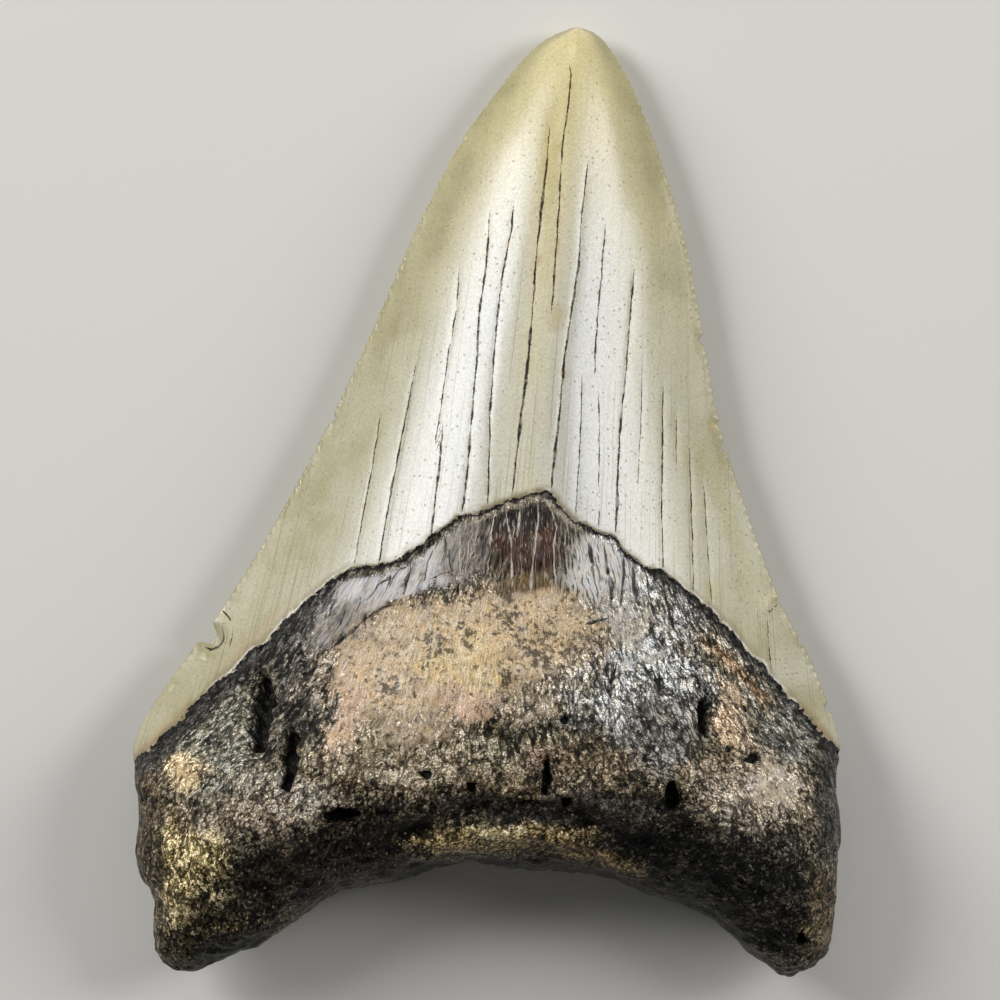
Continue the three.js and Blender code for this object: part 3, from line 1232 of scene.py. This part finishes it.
    def _edge_moves(self, plan: np.ndarray, below: np.ndarray) -> np.ndarray:
        """Cuts the serrations and the chips into the cutting edges.

        Args:
            plan: Plan places of the vertices in millimetres.
            below: Millimetres below the enamel's border.

        Returns:
            The plan move of each vertex.
        """
        moves = np.zeros_like(plan)
        for rim, side, worn in zip(self.rims, (1.0, -1.0), self.worn):
            offset, travel, heading = along_path(plan, rim)
            out = np.column_stack([heading[:, 1], -heading[:, 0]]) * side
            near = smooth(self.serration_band, 0.0, np.abs(offset)) * smooth(0.3, -0.6, below)
            turn = np.abs(2 * ((travel / self.serration) % 1) - 1)
            wear = 0.75 + layered(np.column_stack([travel, travel * 0]), EDGE_WEAR)
            wear *= 1 - worn * smooth(*self.worn_start, travel)
            lobe = (1 - turn ** 2.2) - 0.75
            step = self.serration_height * wear * smooth(*self.serration_start, travel) * lobe * near
            for chip in CHIPS:
                gap = np.hypot(*(plan - photo_mm(chip.at_px)).T)
                bite = smooth(1.0, 0.35, gap / (chip.radius + 0.5 * np.abs(offset)))
                bite *= smooth(3 * chip.depth + 0.3, 0.0, np.abs(offset))
                step = step - chip.depth * bite
            moves += out * step[:, None]
        return moves

    def _reach(self, places: np.ndarray, warp: np.ndarray, patch: Patch) -> np.ndarray:
        """Measures how far each vertex is from the middle of a patch.

        Args:
            places: Places of the vertices in millimetres.
            warp: Plan moves that make the patches ragged.
            patch: The patch.

        Returns:
            The distance as a share of the patch's size.
        """
        turn = math.radians(-patch.turn)
        size = np.asarray(patch.radii_px) * PHOTO_MM
        gap = places[:, :2] + warp * min(1.0, size.min() / 2) - photo_mm(patch.at_px)
        length = gap @ (math.cos(turn), math.sin(turn)) / size[0]
        breadth = gap @ (-math.sin(turn), math.cos(turn)) / size[1]
        return np.hypot(length, breadth)

    def _covered(self, places: np.ndarray, warp: np.ndarray, patches: tuple[Patch, ...]) -> np.ndarray:
        """Share of each vertex that any of some patches covers."""
        return np.max([smooth(1.3, 0.2, self._reach(places, warp, patch)) for patch in patches], axis=0)

    def _lay(self, places: np.ndarray, warp: np.ndarray, colour_patches: tuple[ColourPatch, ...],
             colour: np.ndarray, grime: np.ndarray) -> None:
        """Lays patches of colour one over the other: mineral staining, and some painted shade, shadow and
        light.

        Args:
            places: Places of the vertices in millimetres.
            warp: Plan moves that make the patches ragged.
            colour_patches: The patches, the lowest first.
            colour: Linear colour of each vertex, which the patches change.
            grime: Dark share at each vertex, which they change too.
        """
        for colour_patch in colour_patches:
            share = smooth(1.4, 0.6, self._reach(places, warp, colour_patch))
            colour += share[:, None] * (np.asarray(linear(colour_patch.colour)[:3]) - colour)
            grime += share * (colour_patch.grime - grime)

    def dress(self) -> None:
        """Gives the tooth its one material, which shades enamel into root at the border."""
        self.piece.data.materials.append(ToothMaterial(self.enamel, self.root).build())


@dataclass
class ToothMaterial:
    """Material of the tooth: glossy cracked enamel above the border, speckled root bone below it.

    Attributes:
        enamel: Finish of the crown.
        root: Finish of the root.
    """

    enamel: EnamelFinish
    root: RootFinish

    def build(self) -> bpy.types.Material:
        """Lays the enamel and the root bone, and joins them at the border.

        Returns:
            The material.
        """
        material = bpy.data.materials.new("fossil_enamel_and_root_bone")
        material.use_nodes = True
        material.node_tree.nodes.clear()
        add = self.add = partial(add_node, material.node_tree)
        enamel, root = self.enamel, self.root
        self.place = add(Kind.STRETCH, add(Kind.PLACE), (1 / MM,) * 3)
        self.below = add(Kind.MARK, attribute_name="below_gum")
        self.grime = add(Kind.MARK, attribute_name="grime")
        self.neck = add(Kind.MARK, attribute_name="neck")
        self.spots = add(Kind.CLOUD, self.place, 1 / root.spot)
        self.blots = add(Kind.CLOUD, self.place, 1 / root.blot)
        # Orange peel breaks up the shine of the polish, and gritty specks with painted glints make the bone
        # sparkle.
        self.peel = add(Kind.CLOUD, self.place, 1 / enamel.peel, 2.0, 0.6)
        grit_and_glints = add(Kind.CLOUD, self.place, 1 / root.grit_and_glints, 2.0, 0.7)
        self.grit_and_glints = add(Kind.TIMES_PLUS, add(Kind.POWER, grit_and_glints, 3.2), 9.9, 0.02)
        self.streak = add(Kind.CLOUD, self._flow("grain", 0.05), 1 / enamel.streak)
        self.thread = add(Kind.CLOUD, self._flow("fan", 0.12), 1 / root.thread, 2.0, 0.6)
        self.streaks = add(Kind.CLOUD, self._flow("fan", 0.08), 1 / root.streak, 3.0, 0.65)
        cream = self._cracked(self._lined(self._cream()))
        add(Kind.OUTPUT, self._surface(cream, self._bone()))
        return material

    def _flow(self, name: str, along: float) -> Socket:
        """Coordinates that follow the fibres of a mark, drawn out along them."""
        return self.add(Kind.STRETCH, self.add(Kind.MARK_VECTOR, attribute_name=name), (1.0, along, 1.0))

    def _cream(self) -> Socket:
        """Sound enamel: cream that yellows to the tip and dulls to the edges, with faint long streaks.

        Returns:
            Its colour.
        """
        add, enamel = self.add, self.enamel
        height = add(Kind.PARTS, self.place).outputs["Y"]
        yellowed = add(Kind.EASE, height, 2.0, 42.0)
        cream = add(Kind.LAY, yellowed, linear(enamel.lower), linear(enamel.upper))
        patches = add(Kind.EASE, add(Kind.CLOUD, self.place, 1 / enamel.patch, 3.0), 0.4, 0.7)
        cream = add(Kind.LAY, add(Kind.TIMES, patches, 0.3), cream, linear(enamel.warm))
        across = add(Kind.MARK, attribute_name="across")
        # Paler bands down both sides of the middle, where the soft boxes' highlights fall: partly paler
        # enamel, partly a painted highlight.
        highlight_bands = add(Kind.TIMES, add(Kind.EASE, across, 0.0, 0.3), add(Kind.EASE, across, 0.85, 0.3))
        highlight_bands = add(Kind.TIMES, highlight_bands, add(Kind.EASE, height, 42.0, 15.0))
        cream = add(Kind.LAY, highlight_bands, cream, linear(enamel.highlight_band))
        flank = add(Kind.TIMES_PLUS, patches, 0.3, 0.6)
        flank = add(Kind.TIMES, add(Kind.EASE, across, 0.45, 0.9), flank)
        cream = add(Kind.LAY, flank, cream, linear(enamel.edge))
        streaked = add(Kind.TIMES, add(Kind.EASE, self.streak, 0.5, 0.75), 0.16)
        cream = add(Kind.LAY, streaked, cream, linear(enamel.edge))
        # Staining of the enamel, with a painted shade band and painted highlights among it.
        spotted = add(Kind.TIMES, add(Kind.MARK, attribute_name="spotted"), 0.6)
        cream = add(Kind.LAY, spotted, cream, add(Kind.MARK_COLOUR, attribute_name="spot"))
        return add(Kind.SCALE, cream, add(Kind.TIMES_PLUS, self.peel, 0.64, 0.68))

    def _hairs(self, spacing: float, thickness: float, wander: float) -> Socket:
        """Thin lines along the enamel's grain that come and go.

        Args:
            spacing: Distance between them in millimetres.
            thickness: Half their width in millimetres.
            wander: How far they stray in millimetres.

        Returns:
            The share of line at each place.
        """
        add = self.add
        bend = add(Kind.CLOUD, self._flow("grain", 0.12), 1 / self.enamel.hair_bend)
        course = add(Kind.PARTS, add(Kind.MARK_VECTOR, attribute_name="grain")).outputs["X"]
        course = add(Kind.PLUS, course, add(Kind.TIMES, bend, wander))
        gap = add(Kind.TIMES, add(Kind.LINES, course, 1 / spacing), spacing)
        shown = add(Kind.CLOUD, self._flow("grain", 0.09), 1 / self.enamel.hair_break, 1.0)
        shown = add(Kind.EASE, shown, 0.46, 0.6)
        return add(Kind.TIMES, add(Kind.EASE, gap, thickness, thickness * 0.3), shown)

    def _lined(self, cream: Socket) -> Socket:
        """Draws hairlines from tip to border, close together and rusty just above it, and pores.

        Args:
            cream: Colour of the enamel.

        Returns:
            The colour with lines and pores.
        """
        add, enamel = self.add, self.enamel
        hair = self._hairs(enamel.hair_spacing, enamel.hair, 0.9)
        hair = add(Kind.TIMES, hair, add(Kind.EASE, self.below, -30.0, -10.0))
        cream = add(Kind.LAY, add(Kind.TIMES, hair, 0.36), cream, linear(enamel.hairline))
        close_hair = self._hairs(enamel.close_spacing, enamel.close_hair, 0.5)
        close_hair = add(Kind.TIMES, close_hair, add(Kind.EASE, self.below, -9.0, -1.0))
        cream = add(Kind.LAY, add(Kind.TIMES, close_hair, 0.5), cream, linear(enamel.soil))
        # Pin-pricks: tiny dark pores, scattered over the gloss.
        pores = add(Kind.CELLS, self.place, 1 / enamel.pore_spacing).outputs
        chance = add(Kind.SHADES, pores["Color"]).outputs[0]
        pore = add(Kind.EASE, pores["Distance"], 0.24, 0.1)
        self.pore = add(Kind.TIMES, pore, add(Kind.ABOVE, chance, 0.6))
        return add(Kind.LAY, add(Kind.TIMES, self.pore, 0.42), cream, linear(enamel.hairline))

    def _cracked(self, cream: Socket) -> Socket:
        """Finds the cracks' black lines, and lays rust beside them and earth along the border.

        Args:
            cream: Colour of the enamel.

        Returns:
            The colour with rust and earth.
        """
        add, enamel = self.add, self.enamel
        offset, gap, width = add(Kind.PARTS, add(Kind.MARK_VECTOR, attribute_name="crack")).outputs
        ragged = add(Kind.TIMES_PLUS, add(Kind.MINUS, self.peel, 0.5), 0.12, add(Kind.ABSOLUTE, offset))
        ragged = add(Kind.OVER, ragged, add(Kind.PLUS, width, HAIRBREADTH))
        line = add(Kind.MINUS, 1.0, add(Kind.EASE, ragged, 0.5, 1.1))
        shown = add(Kind.TIMES, add(Kind.UNDER, gap, 0.4), add(Kind.EASE, width, 0.01, 0.04))
        filled = add(Kind.TIMES_PLUS, add(Kind.EASE, self.spots, 0.35, 0.55), 0.35, 0.6)
        self.line = add(Kind.TIMES, add(Kind.TIMES, line, shown), filled)
        halo = add(Kind.TIMES, add(Kind.EASE, gap, 0.5, 0.05), add(Kind.EASE, self.blots, 0.5, 0.66))
        halo = add(Kind.TIMES, halo, add(Kind.EASE, width, 0.02, 0.08))
        cream = add(Kind.LAY, add(Kind.TIMES, halo, 0.45), cream, linear(enamel.halo))
        soiled = add(Kind.EASE, self.below, -0.75, -0.05)
        soiled = add(Kind.TIMES, soiled, add(Kind.EASE, self.spots, 0.26, 0.5))
        return add(Kind.LAY, add(Kind.TIMES, soiled, 0.85), cream, linear(enamel.soil))

    def _jagged(self, vector: Socket) -> Socket:
        """Coordinates shaken so that grains get broken outlines."""
        shake = self.add(Kind.TIMES, self.add(Kind.MINUS, self.peel, 0.5), 0.5)
        return self.add(Kind.SHIFT, vector, shake)

    def _grains(self) -> Socket:
        """Grimy bone: pale fibres above or grains below stand out of black mineral.

        Of a patch's grains the share that grime leaves is light, and it keeps the patch's mean colour.

        Returns:
            Its brightness, as a factor on the tint.
        """
        add, root = self.add, self.root
        low = add(Kind.MARK, attribute_name="low")
        fibres = add(Kind.CELLS, self._jagged(self._flow("fan", 0.4)), 1 / root.fibre).outputs
        grains = add(Kind.CELLS, self._jagged(self._flow("arch", 0.6)), 1 / root.grain).outputs
        dice = add(Kind.LAY, low, fibres["Color"], grains["Color"])
        chance, self.hue, _ = add(Kind.SHADES, dice).outputs
        self.middle = add(Kind.BLEND, low, fibres["Distance"], grains["Distance"])
        mottle = add(Kind.CLOUD, self.place, 1 / root.mottle, 3.0, 0.6)
        dark = add(Kind.TIMES_PLUS, add(Kind.MINUS, mottle, 0.5), -1.1, self.grime)
        dark = add(Kind.TIMES_PLUS, add(Kind.MARK, attribute_name="relief"), -0.3, dark)
        dark = add(Kind.LEAST, add(Kind.MOST, dark, 0.02), 0.92)
        self.light = add(Kind.POWER, chance, add(Kind.OVER, dark, add(Kind.MINUS, 1.0, dark)))
        # Each grain is painted paler in its middle and darker at its rim: painted light on its rounded top
        # and painted shade between grains.
        self.dome = add(Kind.EASE, self.middle, 0.85, 0.35)
        lift = add(Kind.OVER, self.light, add(Kind.MINUS, 1.0, self.grime))
        lift = add(Kind.TIMES, lift, add(Kind.TIMES_PLUS, self.dome, 1.2, 0.25))
        # Crevices wind between the ridges.
        winding = add(Kind.CLOUD, self._flow("fan", 0.45), 1 / root.ridge, 2.0, 0.6)
        winding = add(Kind.ABSOLUTE, add(Kind.MINUS, winding, 0.5))
        ridges = add(Kind.TIMES_PLUS, add(Kind.EASE, winding, 0.0, 0.085), 1.08, 0.12)
        return add(Kind.TIMES, lift, add(Kind.TIMES, self.grit_and_glints, ridges))

    def _lift(self) -> Socket:
        """Brightness of the bone where it is grimy, clean or part of the neck band.

        Returns:
            A factor on the tint.
        """
        add = self.add
        lift = self._grains()
        # Clean patches show threads and a few dark specks instead of grains.
        coarse = add(Kind.TIMES_PLUS, add(Kind.MINUS, self.spots, 0.5), 0.45, self.grime)
        coarse = add(Kind.EASE, coarse, 0.17, 0.32)
        specks = add(Kind.CLOUD, self.place, 1 / self.root.speck, 3.0, 0.7)
        specks = add(Kind.TIMES_PLUS, add(Kind.MARK, attribute_name="speckled"), 0.14, specks)
        specks = add(Kind.TIMES_PLUS, add(Kind.EASE, specks, 0.54, 0.68), -0.8, 1.0)
        calm = add(Kind.TIMES, add(Kind.TIMES_PLUS, self.thread, 2.1, -0.05), specks)
        calm = add(Kind.TIMES, calm, add(Kind.TIMES_PLUS, self.grit_and_glints, 0.3, 0.72))
        lift = add(Kind.BLEND, coarse, calm, lift)
        # The neck band is smooth, with dark streaks running down it.
        drawn = add(Kind.TIMES, add(Kind.EASE, self.streaks, 0.52, 0.4), add(Kind.TIMES, self.grime, -2.9))
        banded = add(Kind.TIMES_PLUS, self.thread, 0.9, add(Kind.PLUS, drawn, 0.64))
        return add(Kind.BLEND, self.neck, lift, banded)

    def _bone(self) -> Socket:
        """Root bone: each patch's tint, brighter and darker by grain, with filled seams and holes.

        Returns:
            Its colour.
        """
        add, root = self.add, self.root
        lift = self._lift()
        tint = add(Kind.MARK_COLOUR, attribute_name="tint")
        hue = add(Kind.TIMES_PLUS, self.blots, 0.7, add(Kind.TIMES, self.hue, 0.3))
        cool, warm = add(Kind.STRETCH, tint, root.cool), add(Kind.STRETCH, tint, root.warm)
        tint = add(Kind.LAY, add(Kind.EASE, hue, 0.3, 0.7), cool, warm)
        # The palest grains lose their tint toward grey: painted glints.
        glint_grey = add(Kind.TIMES, add(Kind.EASE, lift, 0.9, 2.6), 0.4)
        tint = add(Kind.LAY, glint_grey, tint, add(Kind.GREY, tint))
        bone = add(Kind.SCALE, tint, add(Kind.PLUS, lift, 0.01))
        # Pale mineral fills the seams and some streaks of the neck band, and black the holes.
        offset, gap, width = add(Kind.PARTS, add(Kind.MARK_VECTOR, attribute_name="seam")).outputs
        pale = add(Kind.OVER, add(Kind.ABSOLUTE, offset), add(Kind.PLUS, width, HAIRBREADTH))
        pale = add(Kind.TIMES, add(Kind.EASE, pale, 1.2, 0.4), add(Kind.UNDER, gap, 0.5))
        pale = add(Kind.TIMES, pale, add(Kind.EASE, self.thread, 0.36, 0.52))
        washed = add(Kind.TIMES, add(Kind.EASE, self.streaks, 0.55, 0.67), self.neck)
        pale = add(Kind.MOST, add(Kind.TIMES, washed, 0.5), pale)
        bone = add(Kind.LAY, pale, bone, linear(root.seam))
        hollow = add(Kind.EASE, add(Kind.MARK, attribute_name="hollow"), 0.2, 0.75)
        return add(Kind.LAY, hollow, bone, linear(root.black))

    def _surface(self, cream: Socket, bone: Socket) -> Socket:
        """Joins enamel and bone at the border, with the gloss of each.

        Args:
            cream: Colour of the enamel.
            bone: Colour of the root.

        Returns:
            The finished surface.
        """
        add, enamel, root = self.add, self.enamel, self.root
        # The border is a black ragged line where matrix fills the step under the enamel.
        crumbs = add(Kind.CLOUD, self.place, 1 / root.crumb, 3.0)
        edge = add(Kind.TIMES_PLUS, add(Kind.MINUS, crumbs, 0.5), 0.8, self.below)
        is_root = add(Kind.EASE, edge, -BORDER, BORDER)
        border = add(Kind.EASE, add(Kind.TIMES_PLUS, self.blots, 0.6, edge), 0.75, 0.4)
        black = add(Kind.MOST, add(Kind.TIMES, is_root, border), self.line)
        colour = add(Kind.LAY, black, add(Kind.LAY, is_root, cream, bone), linear(root.black))
        # Enamel has a polished skin, cracks have none, and damp bone glints on its grains.
        enamel_rough = add(Kind.TIMES_PLUS, self.line, 0.4, enamel.roughness)
        root_rough = add(Kind.TIMES_PLUS, self.spots, 0.3, root.roughness - 0.15)
        rough = add(Kind.BLEND, is_root, enamel_rough, root_rough)
        polish = add(Kind.TIMES_PLUS, self.peel, 0.9, 0.5)
        polish = add(Kind.TIMES, add(Kind.MINUS, 1.0, self.line), polish)
        damp = add(Kind.TIMES, add(Kind.TIMES, self.light, self.dome), 0.5)
        damp = add(Kind.BLEND, self.neck, damp, 0.15)
        skin = add(Kind.BLEND, is_root, polish, damp)
        bump = self._bump()
        return add(Kind.SURFACE, colour, rough, bump, root.ior, root.shine,
                   skin, bump, enamel.gloss_roughness, enamel.gloss_ior)

    def _bump(self) -> Socket:
        """Relief too fine for the mesh, from heights in millimetres.

        Returns:
            The surface's direction.
        """
        add = self.add
        enamel_height = add(Kind.TIMES, self.peel, 0.008)
        enamel_height = add(Kind.TIMES_PLUS, self.pore, -0.02, enamel_height)
        enamel_height = add(Kind.TIMES_PLUS, self.streak, 0.006, enamel_height)
        grimy = add(Kind.TIMES, add(Kind.EASE, self.grime, 0.1, 0.34), add(Kind.MINUS, 1.0, self.neck))
        grains = add(Kind.TIMES_PLUS, self.peel, 0.08, add(Kind.TIMES, self.middle, -0.1))
        root_height = add(Kind.BLEND, grimy, add(Kind.TIMES, self.thread, 0.06), grains)
        is_root = add(Kind.EASE, self.below, -BORDER, BORDER)
        return add(Kind.BUMP, add(Kind.BLEND, is_root, enamel_height, root_height), MM, 1.0)


@dataclass(frozen=True)
class SoftBox:
    """A soft box that faces the tooth.

    Attributes:
        name: Name of the light.
        place: Its place in metres.
        size: Its width and height in metres.
        power: Its power in watts.
    """

    name: str
    place: tuple[float, float, float]
    size: tuple[float, float]
    power: float

    def build(self) -> None:
        """Hangs the box and turns it to the tooth."""
        lamp = bpy.data.lights.new(self.name, "AREA")
        lamp.shape = "RECTANGLE"
        lamp.size, lamp.size_y = self.size
        lamp.energy = self.power
        box = bpy.data.objects.new(self.name, lamp)
        box.location = self.place
        box.rotation_euler = (-Vector(self.place)).to_track_quat("-Z", "Y").to_euler()
        box.visible_camera = False
        bpy.context.scene.collection.objects.link(box)


@dataclass
class Studio:
    """Floor, lights and camera round the tooth.

    Attributes:
        floor_size: Side of the floor in metres.
        lens: Focal length in millimetres.
        frame_width: Width that the picture takes in at the cutting edges, in millimetres.
        edge_height: Height of the cutting edges over the floor in millimetres.
        middle_px: Pixel of the photograph in the middle of the picture.
        sky: Strength of the even light from all round.
        boxes: The soft boxes, low on the left and right and dim beyond the tip.
        floor: Finish of the floor.
    """

    floor_size: float = 6.0
    lens: float = 400.0
    frame_width: float = 90.0
    edge_height: float = 5.0
    middle_px: tuple[float, float] = (500.0, 500.0)
    sky: float = 0.1
    boxes: tuple[SoftBox, ...] = (
        SoftBox("left_box", (-0.525, 0.315, 0.43), (0.24, 0.5), 3.7),
        SoftBox("right_box", (0.59, 0.195, 0.41), (0.24, 0.5), 2.75),
        SoftBox("tip_box", (0.0, 0.62, 0.4), (0.5, 0.25), 0.8),
    )
    floor: FloorFinish = FloorFinish()

    def build_floor(self) -> bpy.types.Object:
        """Lays the floor under the tooth.

        Returns:
            The floor.
        """
        bpy.ops.object.select_all(action="DESELECT")
        bpy.ops.mesh.primitive_plane_add(size=self.floor_size)
        floor = bpy.context.object
        floor.name = "floor"
        material = bpy.data.materials.new("matt_painted_board")
        material.use_nodes = True
        shader = material.node_tree.nodes["Principled BSDF"]
        shader.inputs["Base Color"].default_value = linear(self.floor.colour)
        shader.inputs["Roughness"].default_value = self.floor.roughness
        floor.data.materials.append(material)
        return floor

    def build_lights(self) -> None:
        """Hangs the soft boxes and sets a dim sky."""
        for box in self.boxes:
            box.build()
        world = bpy.data.worlds.new("studio")
        world.use_nodes = True
        sky = world.node_tree.nodes["Background"]
        sky.inputs["Color"].default_value = (1.0, 1.0, 1.0, 1.0)
        sky.inputs["Strength"].default_value = self.sky
        bpy.context.scene.world = world
        bpy.context.scene.view_settings.view_transform = "Standard"

    def build_camera(self) -> None:
        """Hangs the camera straight over the tooth, its tip up the picture."""
        eye = bpy.data.cameras.new("camera")
        eye.lens = self.lens
        eye.clip_end = 100
        camera = bpy.data.objects.new("camera", eye)
        distance = self.frame_width * self.lens / eye.sensor_width
        middle = photo_mm(self.middle_px)
        camera.location = (middle[0] * MM, middle[1] * MM, (self.edge_height + distance) * MM)
        bpy.context.scene.collection.objects.link(camera)
        bpy.context.scene.camera = camera


def main() -> None:
    """Builds the tooth and its studio."""
    logging.basicConfig(level=logging.INFO, format="%(name)s: %(message)s")
    tooth = Tooth()
    piece = tooth.build()
    tooth.dress()
    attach(piece, "root")
    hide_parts("tooth")
    piece.data.calc_loop_triangles()
    LOG.info("%s: %d triangles", piece.name, len(piece.data.loop_triangles))
    studio = Studio()
    floor = studio.build_floor()
    LOG.info("%s: %.1f m square", floor.name, studio.floor_size)
    studio.build_lights()
    studio.build_camera()


if __name__ == "__main__":
    main()
